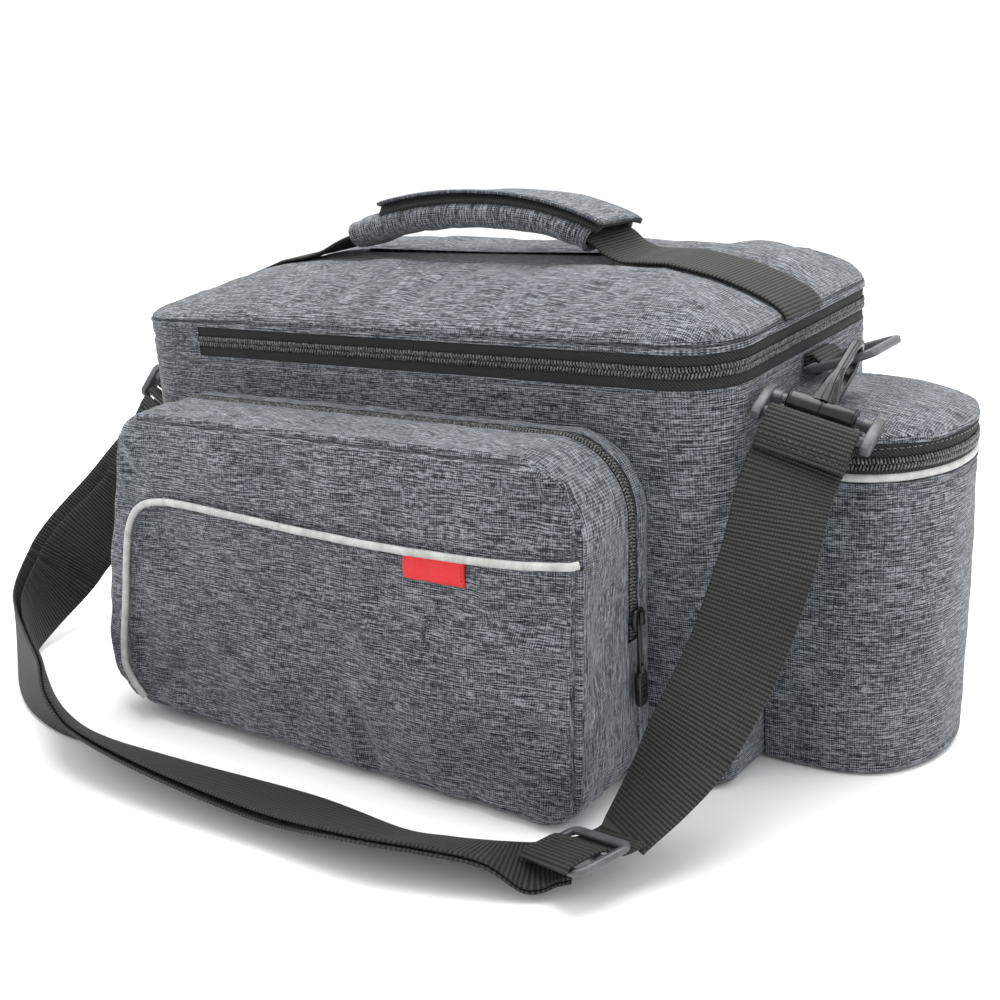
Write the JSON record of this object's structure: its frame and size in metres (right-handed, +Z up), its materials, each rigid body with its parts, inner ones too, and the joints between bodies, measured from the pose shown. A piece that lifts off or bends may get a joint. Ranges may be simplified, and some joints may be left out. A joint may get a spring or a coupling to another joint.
{
  "type": "bicycle rack bag",
  "caption": "Soft box-shaped rack bag with a domed zip lid and padded carry handle, a zipped side pocket, a round end pocket for a bottle and a hooked webbing shoulder strap.",
  "frame": {"origin": "centre of the body's base, on the surface the bag rests on", "axes": "+X along the body to the end with the bottle pocket, -Y out of the front wall with the side pocket, +Z up"},
  "size_m": [0.5608, 0.3503, 0.2749],
  "materials": {
    "fabric": "blue-grey melange weave, matt",
    "tape": "black woven zip tape with nylon coil",
    "webbing": "black ribbed webbing",
    "piping": "light grey reflective piping",
    "plastic": "dark grey moulded, satin",
    "red_cloth": "plain red woven tab"
  },
  "bodies": {
    "root": {"body_shell": "fabric", "lid_shell": "fabric", "end_hinge": "fabric", "main_zip": "tape", "main_zip_pull": "plastic", "side_pocket": "fabric", "pocket_zip": "tape", "pocket_gusset": "fabric", "pocket_piping": "piping", "red_tab": "red_cloth", "pocket_zip_pull": "plastic", "bottle_pocket": "fabric", "bottle_piping": "piping", "bottle_zip": "tape", "bottle_lid": "fabric", "handle_webbing": "webbing", "handle_grip": "fabric", "handle_flap": "fabric", "ring_right": "plastic", "ring_webbing_right": "webbing", "hook_frame_right": "plastic", "hook_right": "plastic", "ring_left": "plastic", "ring_webbing_left": "webbing", "hook_frame_left": "plastic", "hook_left": "plastic", "strap_slider": "plastic", "strap_front_run": "webbing", "strap_outer_layer": "webbing", "strap_inner_layer": "webbing"}
  },
  "joints": []
}
